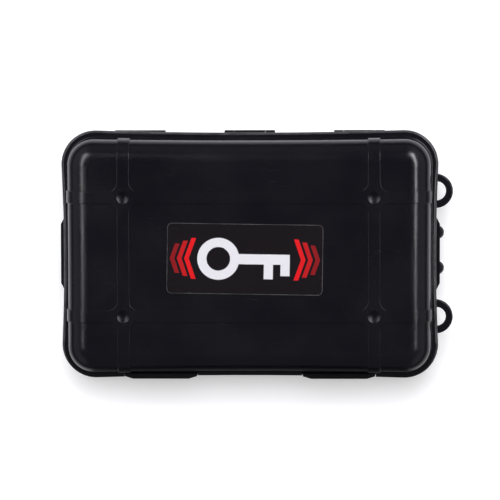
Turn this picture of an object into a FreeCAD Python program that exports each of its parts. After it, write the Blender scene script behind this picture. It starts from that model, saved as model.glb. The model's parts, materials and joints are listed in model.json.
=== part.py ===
import FreeCAD, Part
import math
import os

from FreeCAD import Vector

# Magnetic key holder box: a hinged plastic case with a gasket, two latches, two lanyard loops
# and four pot magnets screwed under its floor. Millimetres throughout.
# X runs along the case towards the lanyard loops, Y towards the hinge, Z up through the lid.
# The model is drawn about the middle of the case outline, on the plane of the magnet faces, and
# every finished piece is then moved so that the origin is the bottom middle of the whole box.

# --- Case outline, seen from above at the lid's flange ---------------------------------------
CASE_LENGTH = 158.0        # over the corners
CASE_WIDTH = 104.0         # over the corners
CORNER_RADIUS = 14.2
FLANGE_SIDE_BOW = 1.0      # middle of a flange's long side, inside the line of its corners
FLANGE_END_BOW = 0.9       # the same at a flange's short end
WALL_SIDE_BOW = 0.6        # the same at a wall's long side
WALL_END_BOW = 0.1         # and at a wall's short end

# --- Heights ---------------------------------------------------------------------------------
BASE_HEIGHT = 30.0         # magnet seats up to the parting plane
LID_HEIGHT = 20.0          # parting plane up to the top of the lid's ribs

# --- Walls and flanges -----------------------------------------------------------------------
WALL = 2.2
LID_WALL_INSET = 3.1       # lid's flange edge in to the lid's outer wall
BASE_WALL_INSET = 4.5      # lid's flange edge in to the base's outer wall
DRAFT = 1.5                # degrees that walls lean in, so that each half leaves its mould
BASE_FLANGE_INSET = 0.4    # lid's flange edge in to the base's flange edge
LID_FLANGE_THICKNESS = 3.2
BASE_FLANGE_THICKNESS = 3.0
LID_EDGE_RADIUS = 8.4      # round between the lid's wall and its top
BASE_EDGE_RADIUS = 8.0     # round between the base's wall and its floor
ROUND_IN_CORNER = 0.95     # most that such a round takes of an upright corner's radius
FLANGE_EDGE_RADIUS = 1.1   # outer edge of each flange, on its outer side
FLANGE_ROOT_RADIUS = 0.7   # where a flange meets its wall
SEAM_RADIUS = 0.3          # outer edge of each flange, at the parting plane

# --- Raised ribs, crossing on the lid and on the floor ---------------------------------------
RIB_WIDTH = 5.2
RIB_HEIGHT = 0.6
RIB_FROM_END = 27.0        # case's end in to the middle of the ribs that run across
RIB_FROM_SIDE = 27.3       # case's side in to the middle of the ribs that run along
PANEL_CORNER_RADIUS = 3.6  # corners of the sunk panels between the ribs
RIB_EDGE_RADIUS = 0.25
DIMPLE_DIAMETER = 5.2
DIMPLE_DEPTH = 0.6

# --- Gasket, its groove in the lid and the tongue on the base that presses on it --------------
GROOVE_INSET = 1.8         # lid's flange edge in to the groove
GROOVE_WIDTH = 2.3
GROOVE_DEPTH = 1.8
GASKET_SIDE_CLEARANCE = 0.05
TONGUE_WIDTH = 1.0
TONGUE_HEIGHT = 0.5
TONGUE_EDGE_RADIUS = 0.3
GASKET_GAP = 0.1           # tongue to gasket with the lid shut

# --- Hinge: three blocks of two ears on the base and a knuckle on the lid ---------------------
HINGE_SPACING = 46.0
HINGE_BLOCK_LENGTH = 21.2
HINGE_EAR_WIDTH = 4.0
HINGE_SIDE_CLEARANCE = 0.12
KNUCKLE_RADIUS = 2.1
HINGE_PROUD = 0.0          # knuckles stand this far outside the corners' line
PIN_RADIUS = 1.0
PIN_RUNNING_CLEARANCE = 0.06
TURNING_CLEARANCE = 0.35   # round anything that swings
KNUCKLE_WEB_THICKNESS = 2.2

# --- Latches: levers on the base that hook over the lid's flange -------------------------------
LATCH_X = 37.4
LATCH_WIDTH = 30.4
LATCH_PROUD = 0.3          # latch face stands this far outside the corners' line
LATCH_PLATE = 1.5
LATCH_BEVEL_LENGTH = 3.6
LATCH_BEVEL_DEPTH = 1.1
LATCH_HOOK_DEPTH = 2.6     # latch face in to the hook's tip
LATCH_HOOK_THICKNESS = 1.3
LATCH_HOOK_CLEARANCE = 0.25
LATCH_NOTCH_CLEARANCE = 0.25
LATCH_BARREL_RADIUS = 2.2
LATCH_BARREL_LENGTH = 22.0
LATCH_EAR_WIDTH = 3.0
LATCH_EAR_CLEARANCE = 0.3
LATCH_PIVOT_DROP = 7.5     # parting plane down to the latch pin
LATCH_GROOVE_COUNT = 3
LATCH_GROOVE_WIDTH = 0.9
LATCH_GROOVE_DEPTH = 0.45
LATCH_GROOVE_PITCH = 1.9
LATCH_EDGE_RADIUS = 0.5

# --- Ends: bumpers, lanyard loops and the two studs between the loops --------------------------
BUMPER_WIDTH = 31.0
BUMPER_PROUD = 0.8         # bumper face stands this far outside the corners' line
BUMPER_BEVEL_LENGTH = 3.0
BUMPER_BEVEL_DEPTH = 1.6
BUMPER_DROP = 2.0          # parting plane down to the bumper's top
BUMPER_HEIGHT = 19.0
BUMPER_SLOPE = 4.0         # height over which the bumper's foot runs back into the wall
STUD_DIAMETER = 5.6
STUD_PROUD = 2.0
STUD_SPACING = 15.0
STUD_OFFSET = 1.0          # middle of the two studs, towards the hinge
STUD_DROP = 10.0           # parting plane down to the studs' middle
LOOP_Y = 26.4
LOOP_HOLE_RADIUS = 4.0
LOOP_RIM = 2.9             # loop's thickness at its tip
LOOP_ROOT_RIM = 3.2        # loop's thickness where it leaves the flange
LOOP_REACH = 6.2           # corners' line out to the loop's tip
LOOP_HEIGHT = 2.6
LOOP_DROP = 0.3            # parting plane down to the loop's top
LOOP_EDGE_RADIUS = 0.6

# --- Label --------------------------------------------------------------------------------------
LABEL_LENGTH = 64.7
LABEL_WIDTH = 29.3
LABEL_THICKNESS = 0.2
LABEL_CORNER_RADIUS = 2.0
LABEL_X = -1.5
LABEL_Y = -0.85
LABEL_TURN = -0.9          # degrees, as stuck on by hand

# --- Pot magnets and what holds them -------------------------------------------------------------
CUP_RADIUS = 12.5
CUP_HEIGHT = 7.0
CUP_FLOOR = 2.5
CUP_WALL = 2.3
CUP_EDGE_CHAMFER = 0.4
SEAT_MARGIN = 1.0          # magnet seat beyond the cup
RING_GLUE_GAP = 0.2
RING_HOLE_RADIUS = 5.5
RING_RECESS = 0.1          # magnet face above the cup's rim
SCREW_RADIUS = 2.0
SCREW_HEAD_RADIUS = 3.9
SCREW_HEAD_RIM = 0.2
SCREW_HOLE_CLEARANCE = 0.15
SCREW_END = 0.6            # screw beyond the nut
SCREW_CHAMFER = 0.4
CROSS_SLOT_LENGTH = 4.4
CROSS_SLOT_WIDTH = 0.9
CROSS_SLOT_DEPTH = 1.4
NUT_FLATS = 7.0
NUT_HEIGHT = 3.2
NUT_CHAMFER = 0.5
NUT_BORE_CLEARANCE = 0.03
WASHER_RADIUS = 5.0
WASHER_THICKNESS = 1.0

# --- What follows from them ----------------------------------------------------------------------
HALF_LENGTH = CASE_LENGTH / 2
HALF_WIDTH = CASE_WIDTH / 2
FLANGE_BOWS = (FLANGE_SIDE_BOW, FLANGE_END_BOW)
WALL_BOWS = (WALL_SIDE_BOW, WALL_END_BOW)
RIB_X = HALF_LENGTH - RIB_FROM_END
RIB_Y = HALF_WIDTH - RIB_FROM_SIDE
SEAT_Z = CUP_HEIGHT
FLOOR_Z = SEAT_Z + RIB_HEIGHT                # outer face of the base's floor panels
PARTING_Z = SEAT_Z + BASE_HEIGHT
LID_TOP_Z = PARTING_Z + LID_HEIGHT           # top of the lid's ribs
PANEL_Z = LID_TOP_Z - RIB_HEIGHT             # top of the lid's sunk panels
LID_FLANGE_Z = PARTING_Z + LID_FLANGE_THICKNESS
BASE_FLANGE_Z = PARTING_Z - BASE_FLANGE_THICKNESS
GASKET_Z = PARTING_Z + TONGUE_HEIGHT + GASKET_GAP
GROOVE_Z = PARTING_Z + GROOVE_DEPTH

HINGE_Y = HALF_WIDTH + HINGE_PROUD - KNUCKLE_RADIUS
HINGE_Z = PARTING_Z - KNUCKLE_RADIUS - TURNING_CLEARANCE
KNUCKLE_LENGTH = HINGE_BLOCK_LENGTH - 2 * (HINGE_EAR_WIDTH + HINGE_SIDE_CLEARANCE)

LATCH_FACE = HALF_WIDTH + LATCH_PROUD        # distance in front of the middle
LATCH_PIVOT_Y = LATCH_FACE - LATCH_BARREL_RADIUS
LATCH_PIVOT_Z = PARTING_Z - LATCH_PIVOT_DROP
LATCH_HOOK_Z = LID_FLANGE_Z + LATCH_HOOK_CLEARANCE
LATCH_TOP_Z = LATCH_HOOK_Z + LATCH_HOOK_THICKNESS
LATCH_NOTCH = LATCH_FACE - LATCH_PLATE - LATCH_NOTCH_CLEARANCE
LATCH_EAR_MIDDLE = LATCH_BARREL_LENGTH / 2 + LATCH_EAR_CLEARANCE + LATCH_EAR_WIDTH / 2
LATCH_PIN_LENGTH = 2 * LATCH_EAR_MIDDLE + LATCH_EAR_WIDTH

BUMPER_FACE = HALF_LENGTH + BUMPER_PROUD
LOOP_TIP = HALF_LENGTH + LOOP_REACH

RING_RADIUS = CUP_RADIUS - CUP_WALL - RING_GLUE_GAP
RING_TOP_Z = CUP_HEIGHT - CUP_FLOOR
INNER_FLOOR_Z = FLOOR_Z + WALL
WASHER_TOP_Z = INNER_FLOOR_Z + WASHER_THICKNESS
NUT_TOP_Z = WASHER_TOP_Z + NUT_HEIGHT

# The whole box reaches from a bumper to the loops' tips, and from the latches to the knuckles.
TO_ORIGIN = Vector(-(LOOP_TIP - BUMPER_FACE) / 2,
                   -(HINGE_Y + KNUCKLE_RADIUS - LATCH_FACE) / 2, 0)

ALONG_X = Vector(1, 0, 0)
UP = Vector(0, 0, 1)
PAST = 1.0                 # how far a cutting tool runs past what it cuts
TOUCHING = 1e-6            # distance that counts as none

CROSSINGS = {"front_left": (-RIB_X, -RIB_Y), "front_right": (RIB_X, -RIB_Y),
             "back_left": (-RIB_X, RIB_Y), "back_right": (RIB_X, RIB_Y)}
HINGES = {"left": -HINGE_SPACING, "middle": 0.0, "right": HINGE_SPACING}
LATCHES = {"left": -LATCH_X, "right": LATCH_X}


# --- Small helpers ---------------------------------------------------------------------------
def box(x0, x1, y0, y1, z0, z1):
    """Box between two corners."""
    return Part.makeBox(x1 - x0, y1 - y0, z1 - z0, Vector(x0, y0, z0))


def rod(radius, length, x, y, z):
    """Cylinder along X, centred on x."""
    return Part.makeCylinder(radius, length, Vector(x - length / 2, y, z), ALONG_X)


def disc(radius, z0, z1, x=0.0, y=0.0):
    """Upright cylinder from z0 to z1."""
    return Part.makeCylinder(radius, z1 - z0, Vector(x, y, z0), UP)


def prism(points, z0, z1):
    """Upright prism on a closed polygon of (x, y) points."""
    corners = [Vector(x, y, z0) for x, y in points]
    return Part.Face(Part.makePolygon(corners + corners[:1])).extrude(Vector(0, 0, z1 - z0))


def fused(shapes):
    """One solid from shapes that meet, with seams between coplanar faces removed."""
    return shapes[0].fuse(shapes[1:]).removeSplitter()


def edges_at_height(shape, z):
    """The edges of a shape that lie wholly at one height."""
    found = []
    for edge in shape.Edges:
        limits = edge.BoundBox
        if abs(limits.ZMin - z) < TOUCHING and abs(limits.ZMax - z) < TOUCHING:
            found.append(edge)
    return found


def case_outline(inset, z, bows):
    """Closed outline of the case, moved inwards by inset: four rounded corners joined by four
    long shallow curves that bow inwards and touch the corners without a kink. The bows are
    those of the long sides and of the short ends."""
    side_bow, end_bow = bows
    corner_x = HALF_LENGTH - CORNER_RADIUS
    corner_y = HALF_WIDTH - CORNER_RADIUS
    radius = CORNER_RADIUS - inset
    front = touching_corner(corner_x, side_bow)
    end = touching_corner(corner_y, end_bow)
    corners = []
    for side_x, side_y in ((1, 1), (-1, 1), (-1, -1), (1, -1)):
        centre = Vector(side_x * corner_x, side_y * corner_y, z)
        points = [Vector(math.cos(end), math.sin(-end), 0) * radius,
                  Vector(1, 1, 0).normalize() * radius,
                  Vector(math.sin(-front), math.cos(front), 0) * radius]
        placed = [centre + Vector(side_x * p.x, side_y * p.y, 0) for p in points]
        corners.append(placed if side_x * side_y > 0 else placed[::-1])
    middles = [Vector(0, HALF_WIDTH - side_bow - inset, z),
               Vector(-HALF_LENGTH + end_bow + inset, 0, z),
               Vector(0, -HALF_WIDTH + side_bow + inset, z),
               Vector(HALF_LENGTH - end_bow - inset, 0, z)]
    edges = []
    for k, corner in enumerate(corners):
        following = corners[(k + 1) % len(corners)]
        edges.append(Part.Arc(*corner).toShape())
        side = Part.BezierCurve()
        bend = middles[k] * 2 - (corner[-1] + following[0]) / 2
        side.setPoles([corner[-1], bend, following[0]])
        edges.append(side.toShape())
    return Part.Wire(edges)


def touching_corner(half_run, bow):
    """Angle past square at which a corner meets its bowed side, whose corner centres stand
    half_run from the middle."""
    return math.asin(2 * bow * half_run / (half_run ** 2 + bow ** 2))


def case_slab(inset, z0, z1, bows=WALL_BOWS):
    """Solid slab with the case's outline."""
    return Part.Face(case_outline(inset, z0, bows)).extrude(Vector(0, 0, z1 - z0))


def rounded_block(inset, flat_z, round_z, radius):
    """Case-shaped block from flat_z to round_z, with its edge at round_z rounded as far as the
    upright corners leave room for. Its sides lean in by the draft, and inset is what they have
    at the parting plane."""
    lean = math.copysign(math.tan(math.radians(DRAFT)), round_z - flat_z)
    insets = [inset + lean * (z - PARTING_Z) for z in (flat_z, round_z)]
    outlines = [case_outline(insets[0], flat_z, WALL_BOWS),
                case_outline(insets[1], round_z, WALL_BOWS)]
    block = Part.makeLoft(outlines, True, True)
    room = ROUND_IN_CORNER * (CORNER_RADIUS - insets[1])
    return block.makeFillet(min(radius, room), edges_at_height(block, round_z))


def flange(inset, parting_z, far_z):
    """Flange slab: its edge is softly broken at the parting plane and rounder at its far side."""
    slab = case_slab(inset, min(parting_z, far_z), max(parting_z, far_z), FLANGE_BOWS)
    slab = slab.makeFillet(FLANGE_EDGE_RADIUS, edges_at_height(slab, far_z))
    return slab.makeFillet(SEAM_RADIUS, edges_at_height(slab, parting_z))


def crossing_bands(z0, z1):
    """Four bands that cross like a noughts-and-crosses board, with round inner corners."""
    half = RIB_WIDTH / 2
    bands = []
    for side in (-1, 1):
        bands.append(box(side * RIB_X - half, side * RIB_X + half,
                         -HALF_WIDTH, HALF_WIDTH, z0, z1))
        bands.append(box(-HALF_LENGTH, HALF_LENGTH,
                         side * RIB_Y - half, side * RIB_Y + half, z0, z1))
    board = fused(bands)
    corners = []
    for edge in board.Edges:
        middle = edge.BoundBox.Center
        upright = edge.BoundBox.ZLength > (z1 - z0) / 2
        if upright and abs(middle.x) < HALF_LENGTH - PAST and abs(middle.y) < HALF_WIDTH - PAST:
            corners.append(edge)
    return board.makeFillet(PANEL_CORNER_RADIUS, corners)


def ribs(inset, flat_z, round_z, radius):
    """Raised ribs: the case block grown by the ribs' height, kept only where the bands run,
    with the ribs' outer edges softened."""
    grown = rounded_block(inset - RIB_HEIGHT, flat_z, round_z, radius + RIB_HEIGHT)
    bands = crossing_bands(min(flat_z, round_z) - PAST, max(flat_z, round_z) + PAST)
    raised = grown.common(bands)
    flat_edges = {edge.hashCode() for edge in edges_at_height(raised, flat_z)}
    edges = [edge for edge in raised.Edges
             if is_rib_edge(edge) and edge.hashCode() not in flat_edges]
    return raised.makeFillet(RIB_EDGE_RADIUS, edges)


def is_rib_edge(edge):
    """True for an edge that follows the side of a rib, and isn't one of the upright seams in the
    round inner corners."""
    middle = edge.valueAt(sum(edge.ParameterRange) / 2)
    half = RIB_WIDTH / 2
    nearer, further = sorted((abs(abs(middle.x) - RIB_X), abs(abs(middle.y) - RIB_Y)))
    in_corner = nearer > half - TOUCHING and further < half + PANEL_CORNER_RADIUS + TOUCHING
    beside = abs(nearer - half) < TOUCHING or abs(further - half) < TOUCHING
    upright = edge.BoundBox.ZLength > RIB_HEIGHT
    return (beside or in_corner) and not (in_corner and upright)


# --- Base ------------------------------------------------------------------------------------
def base_shell():
    """Lower half of the case, with everything that is moulded in one piece with it."""
    wall = rounded_block(BASE_WALL_INSET, PARTING_Z, FLOOR_Z, BASE_EDGE_RADIUS)
    rim = flange(BASE_FLANGE_INSET, PARTING_Z, BASE_FLANGE_Z)
    body = fused([wall, rim])
    body = body.makeFillet(FLANGE_ROOT_RADIUS, flange_root(body, BASE_WALL_INSET, BASE_FLANGE_Z))
    raised = ribs(BASE_WALL_INSET, BASE_FLANGE_Z + PAST, SEAT_Z, BASE_EDGE_RADIUS)
    seats = [disc(CUP_RADIUS + SEAT_MARGIN, SEAT_Z, FLOOR_Z + WALL / 2, x, y)
             for x, y in CROSSINGS.values()]
    body = fused([body, raised, tongue()] + seats)
    body = body.cut(behind_hinge_line())
    body = body.cut([knuckle_pocket(x) for x in HINGES.values()])
    body = fused([body] + [hinge_ears(x) for x in HINGES.values()]
                 + [latch_ears(x) for x in LATCHES.values()]
                 + [bumper(-1), bumper(1), studs()]
                 + [lanyard_loop(-LOOP_Y), lanyard_loop(LOOP_Y)])
    inset = BASE_WALL_INSET + WALL
    hollow = rounded_block(inset, PARTING_Z + PAST, INNER_FLOOR_Z, BASE_EDGE_RADIUS - WALL)
    cuts = [hollow] + [latch_notch(x) for x in LATCHES.values()]
    cuts += [rod(PIN_RADIUS, HINGE_BLOCK_LENGTH + PAST, x, HINGE_Y, HINGE_Z)
             for x in HINGES.values()]
    cuts += [rod(PIN_RADIUS, LATCH_PIN_LENGTH + PAST, x, -LATCH_PIVOT_Y, LATCH_PIVOT_Z)
             for x in LATCHES.values()]
    hole = SCREW_RADIUS + SCREW_HOLE_CLEARANCE
    cuts += [disc(hole, SEAT_Z - PAST, INNER_FLOOR_Z + PAST, x, y)
             for x, y in CROSSINGS.values()]
    return body.cut(cuts)


def flange_root(body, inset, z):
    """The edges where a flange's flat side meets the wall."""
    found = []
    for edge in edges_at_height(body, z):
        limits = edge.BoundBox
        reach = max(abs(limits.XMin), abs(limits.XMax)) - (HALF_LENGTH - inset)
        depth = max(abs(limits.YMin), abs(limits.YMax)) - (HALF_WIDTH - inset)
        if reach < TOUCHING and depth < TOUCHING:
            found.append(edge)
    return found


def tongue():
    """Low bead round the base's rim that presses on the gasket."""
    middle = GROOVE_INSET + GROOVE_WIDTH / 2
    z0 = PARTING_Z - PAST
    z1 = PARTING_Z + TONGUE_HEIGHT
    outer = case_slab(middle - TONGUE_WIDTH / 2, z0, z1)
    bead = outer.cut(case_slab(middle + TONGUE_WIDTH / 2, z0 - PAST, z1 + PAST))
    return bead.makeFillet(TONGUE_EDGE_RADIUS, edges_at_height(bead, z1))


def behind_hinge_line():
    """Space behind the hinge axis that the lid's flange swings through."""
    return box(-HALF_LENGTH, HALF_LENGTH, HINGE_Y - TURNING_CLEARANCE, HALF_WIDTH + PAST,
               BASE_FLANGE_Z - PAST, PARTING_Z + PAST)


def knuckle_pocket(x):
    """Room in the base's rim for one of the lid's knuckles and its web."""
    length = KNUCKLE_LENGTH + 2 * HINGE_SIDE_CLEARANCE
    swing = rod(KNUCKLE_RADIUS + TURNING_CLEARANCE, length, x, HINGE_Y, HINGE_Z)
    slot = box(x - length / 2, x + length / 2,
               HINGE_Y - KNUCKLE_WEB_THICKNESS / 2 - TURNING_CLEARANCE, HALF_WIDTH + PAST,
               HINGE_Z, PARTING_Z + PAST)
    return swing.fuse(slot)


def hinge_ears(x):
    """Two ears on the base for one hinge pin."""
    ears = []
    wall_y = HALF_WIDTH - WALL_SIDE_BOW - BASE_WALL_INSET
    for side in (-1, 1):
        middle = x + side * (HINGE_BLOCK_LENGTH - HINGE_EAR_WIDTH) / 2
        half = HINGE_EAR_WIDTH / 2
        ears.append(rod(KNUCKLE_RADIUS, HINGE_EAR_WIDTH, middle, HINGE_Y, HINGE_Z))
        ears.append(box(middle - half, middle + half, wall_y - WALL / 2, HINGE_Y,
                        HINGE_Z - KNUCKLE_RADIUS, HINGE_Z + KNUCKLE_RADIUS))
    return fused(ears)


def latch_ears(x):
    """Two ears on the base for one latch pin."""
    ears = []
    wall_y = HALF_WIDTH - WALL_SIDE_BOW - BASE_WALL_INSET
    for side in (-1, 1):
        middle = x + side * LATCH_EAR_MIDDLE
        half = LATCH_EAR_WIDTH / 2
        ears.append(rod(LATCH_BARREL_RADIUS, LATCH_EAR_WIDTH, middle,
                        -LATCH_PIVOT_Y, LATCH_PIVOT_Z))
        ears.append(box(middle - half, middle + half, -LATCH_PIVOT_Y, -wall_y + WALL / 2,
                        LATCH_PIVOT_Z - LATCH_BARREL_RADIUS, LATCH_PIVOT_Z + LATCH_BARREL_RADIUS))
    return fused(ears)


def latch_notch(x):
    """Shallow notch across both flanges in which a latch lies."""
    half = LATCH_WIDTH / 2 + LATCH_EAR_CLEARANCE
    return box(x - half, x + half, -LATCH_FACE - PAST, -LATCH_NOTCH,
               LATCH_PIVOT_Z + LATCH_BARREL_RADIUS + TURNING_CLEARANCE, LID_FLANGE_Z + PAST)


def bumper(side):
    """Bevelled pad on one end of the base, with a sloping foot."""
    wall_x = HALF_LENGTH - WALL_END_BOW - BASE_WALL_INSET - WALL / 2
    shoulder = BUMPER_FACE - BUMPER_BEVEL_DEPTH
    half = BUMPER_WIDTH / 2
    z1 = PARTING_Z - BUMPER_DROP
    z0 = z1 - BUMPER_HEIGHT
    plan = [(wall_x, -half), (shoulder, -half), (BUMPER_FACE, -half + BUMPER_BEVEL_LENGTH),
            (BUMPER_FACE, half - BUMPER_BEVEL_LENGTH), (shoulder, half), (wall_x, half)]
    pad = prism([(side * x, y) for x, y in plan], z0, z1)
    foot = Part.makePolygon([Vector(side * x, -half - PAST, z) for x, z in (
        (BUMPER_FACE + PAST, z0 - PAST), (BUMPER_FACE + PAST, z0 + BUMPER_SLOPE),
        (BUMPER_FACE, z0 + BUMPER_SLOPE), (wall_x + WALL / 2, z0), (wall_x + WALL / 2, z0 - PAST),
        (BUMPER_FACE + PAST, z0 - PAST))])
    return pad.cut(Part.Face(foot).extrude(Vector(0, BUMPER_WIDTH + 2 * PAST, 0)))


def studs():
    """Two low domes on the bumper between the lanyard loops."""
    half = STUD_DIAMETER / 2
    radius = (half ** 2 + STUD_PROUD ** 2) / (2 * STUD_PROUD)
    domes = []
    for side in (-1, 1):
        y, z = STUD_OFFSET + side * STUD_SPACING / 2, PARTING_Z - STUD_DROP
        ball = Part.makeSphere(radius, Vector(BUMPER_FACE + STUD_PROUD - radius, y, z))
        domes.append(ball.common(rod(half, 2 * STUD_PROUD, BUMPER_FACE, y, z)))
    return domes[0].fuse(domes[1])


def lanyard_loop(y):
    """Loop on the right end of the base's flange for a cord or a split ring."""
    z1 = PARTING_Z - LOOP_DROP
    z0 = z1 - LOOP_HEIGHT
    outer_radius = LOOP_HOLE_RADIUS + LOOP_ROOT_RIM
    hole_x = LOOP_TIP - LOOP_RIM - LOOP_HOLE_RADIUS
    root_x = HALF_LENGTH - WALL_END_BOW - BASE_WALL_INSET
    outer_x = LOOP_TIP - outer_radius
    tip = disc(outer_radius, z0, z1, outer_x, y)
    root = box(root_x - WALL / 2, outer_x, y - outer_radius, y + outer_radius, z0, z1)
    hole = disc(LOOP_HOLE_RADIUS, z0 - PAST, z1 + PAST, hole_x, y)
    beyond_flange = box(HALF_LENGTH - FLANGE_END_BOW / 2 - BASE_FLANGE_INSET, LOOP_TIP + PAST,
                        y - outer_radius - PAST, y + outer_radius + PAST, z0 - PAST, z1 + PAST)
    loop = fused([tip, root])
    loop = loop.cut(hole.common(beyond_flange))
    rims = [e for e in edges_at_height(loop, z0) + edges_at_height(loop, z1)
            if e.Length > outer_radius and e.BoundBox.XMax > hole_x + LOOP_EDGE_RADIUS]
    return loop.makeFillet(LOOP_EDGE_RADIUS, rims)


# --- Lid -------------------------------------------------------------------------------------
def lid_shell():
    """Upper half of the case, with its knuckles, gasket groove and ribs."""
    wall = rounded_block(LID_WALL_INSET, PARTING_Z, PANEL_Z, LID_EDGE_RADIUS)
    rim = flange(0.0, PARTING_Z, LID_FLANGE_Z)
    body = fused([wall, rim])
    body = body.makeFillet(FLANGE_ROOT_RADIUS, flange_root(body, LID_WALL_INSET, LID_FLANGE_Z))
    raised = ribs(LID_WALL_INSET, LID_FLANGE_Z - PAST, LID_TOP_Z, LID_EDGE_RADIUS)
    body = fused([body, raised] + [knuckle(x) for x in HINGES.values()])
    inset = LID_WALL_INSET + WALL
    hollow = rounded_block(inset, PARTING_Z - PAST, PANEL_Z - WALL, LID_EDGE_RADIUS - WALL)
    cuts = [hollow, groove()] + [latch_notch(x) for x in LATCHES.values()]
    cuts += [rod(PIN_RADIUS + PIN_RUNNING_CLEARANCE, KNUCKLE_LENGTH + PAST, x, HINGE_Y, HINGE_Z)
             for x in HINGES.values()]
    cuts += [dimple(x, y) for x, y in CROSSINGS.values()]
    return body.cut(cuts)


def knuckle(x):
    """One of the lid's knuckles, hung from its flange by a short web."""
    half = KNUCKLE_LENGTH / 2
    barrel = rod(KNUCKLE_RADIUS, KNUCKLE_LENGTH, x, HINGE_Y, HINGE_Z)
    web = box(x - half, x + half, HINGE_Y - KNUCKLE_WEB_THICKNESS / 2,
              HINGE_Y + KNUCKLE_WEB_THICKNESS / 2, HINGE_Z, PARTING_Z + SEAM_RADIUS)
    return fused([barrel, web])


def groove():
    """Groove round the lid's rim for the gasket."""
    ring = case_slab(GROOVE_INSET, PARTING_Z - PAST, GROOVE_Z)
    return ring.cut(case_slab(GROOVE_INSET + GROOVE_WIDTH, PARTING_Z - 2 * PAST, GROOVE_Z + PAST))


def dimple(x, y):
    """Shallow round dimple where two of the lid's ribs cross."""
    half = DIMPLE_DIAMETER / 2
    radius = (half ** 2 + DIMPLE_DEPTH ** 2) / (2 * DIMPLE_DEPTH)
    return Part.makeSphere(radius, Vector(x, y, LID_TOP_Z - DIMPLE_DEPTH + radius))


def gasket():
    """Soft ring that lies in the lid's groove."""
    outer = case_slab(GROOVE_INSET + GASKET_SIDE_CLEARANCE, GASKET_Z, GROOVE_Z)
    inset = GROOVE_INSET + GROOVE_WIDTH - GASKET_SIDE_CLEARANCE
    return outer.cut(case_slab(inset, GASKET_Z - PAST, GROOVE_Z + PAST))


def label():
    """Thin plain label on the lid's middle panel."""
    x, y = LABEL_LENGTH / 2, LABEL_WIDTH / 2
    sheet = box(-x, x, -y, y, 0, LABEL_THICKNESS)
    upright = [e for e in sheet.Edges if e.BoundBox.ZLength > LABEL_THICKNESS / 2]
    sheet = sheet.makeFillet(LABEL_CORNER_RADIUS, upright)
    sheet.rotate(Vector(0, 0, 0), UP, LABEL_TURN)
    return sheet.translate(Vector(LABEL_X, LABEL_Y, PANEL_Z))


# --- Hinge pins and latches --------------------------------------------------------------------
def hinge_pin(x):
    """Steel pin through one hinge block."""
    return rod(PIN_RADIUS, HINGE_BLOCK_LENGTH, x, HINGE_Y, HINGE_Z)


def latch_pin(x):
    """Steel pin through one latch and its two ears."""
    return rod(PIN_RADIUS, LATCH_PIN_LENGTH, x, -LATCH_PIVOT_Y, LATCH_PIVOT_Z)


def latch(x):
    """Lever with a hook over the lid's flange, a barrel on its pin and three grip grooves."""
    half = LATCH_WIDTH / 2
    shoulder_z = LATCH_PIVOT_Z + LATCH_BARREL_RADIUS + TURNING_CLEARANCE
    plate = box(x - half, x + half, -LATCH_FACE, -LATCH_FACE + LATCH_PLATE,
                shoulder_z, LATCH_TOP_Z)
    hook = box(x - half, x + half, -LATCH_FACE, -LATCH_FACE + LATCH_HOOK_DEPTH,
               LATCH_HOOK_Z, LATCH_TOP_Z)
    lever = fused([plate, hook])
    top = [e for e in edges_at_height(lever, LATCH_TOP_Z) if e.Length > half]
    lever = lever.makeFillet(LATCH_EDGE_RADIUS, top)
    inner = -LATCH_FACE + LATCH_HOOK_DEPTH + PAST
    shoulder = -LATCH_FACE + LATCH_BEVEL_DEPTH
    flat = half - LATCH_BEVEL_LENGTH
    plan = [(x - half, inner), (x - half, shoulder), (x - flat, -LATCH_FACE),
            (x + flat, -LATCH_FACE), (x + half, shoulder), (x + half, inner)]
    lever = lever.common(prism(plan, shoulder_z - PAST, LATCH_TOP_Z + PAST))
    barrel = rod(LATCH_BARREL_RADIUS, LATCH_BARREL_LENGTH, x, -LATCH_PIVOT_Y, LATCH_PIVOT_Z)
    neck = box(x - LATCH_BARREL_LENGTH / 2, x + LATCH_BARREL_LENGTH / 2,
               -LATCH_FACE, -LATCH_FACE + LATCH_PLATE, LATCH_PIVOT_Z, shoulder_z)
    lever = fused([lever, barrel, neck])
    middle_z = (shoulder_z + LATCH_HOOK_Z) / 2
    first_z = middle_z - LATCH_GROOVE_PITCH * (LATCH_GROOVE_COUNT - 1) / 2
    cuts = [rod(PIN_RADIUS + PIN_RUNNING_CLEARANCE, LATCH_BARREL_LENGTH + PAST,
                x, -LATCH_PIVOT_Y, LATCH_PIVOT_Z)]
    for k in range(LATCH_GROOVE_COUNT):
        z = first_z + k * LATCH_GROOVE_PITCH
        cuts.append(box(x - flat + LATCH_BEVEL_LENGTH, x + flat - LATCH_BEVEL_LENGTH,
                        -LATCH_FACE - PAST, -LATCH_FACE + LATCH_GROOVE_DEPTH,
                        z - LATCH_GROOVE_WIDTH / 2, z + LATCH_GROOVE_WIDTH / 2))
    return lever.cut(cuts)


# --- Magnets and their fasteners -------------------------------------------------------------------
def magnet_cup(x, y):
    """Steel pot that holds one ring magnet, with a countersunk floor."""
    pot = disc(CUP_RADIUS, 0, CUP_HEIGHT, x, y)
    pot = pot.makeChamfer(CUP_EDGE_CHAMFER, edges_at_height(pot, CUP_HEIGHT))
    hole = SCREW_RADIUS + SCREW_HOLE_CLEARANCE
    sink = SCREW_HEAD_RADIUS + SCREW_HOLE_CLEARANCE
    taper = Part.makeCone(sink, hole, sink - hole, Vector(x, y, RING_TOP_Z + SCREW_HEAD_RIM), UP)
    return pot.cut([disc(CUP_RADIUS - CUP_WALL, -PAST, RING_TOP_Z, x, y),
                    disc(sink, RING_TOP_Z - PAST, RING_TOP_Z + SCREW_HEAD_RIM, x, y), taper,
                    disc(hole, RING_TOP_Z, CUP_HEIGHT + PAST, x, y)])


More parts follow.
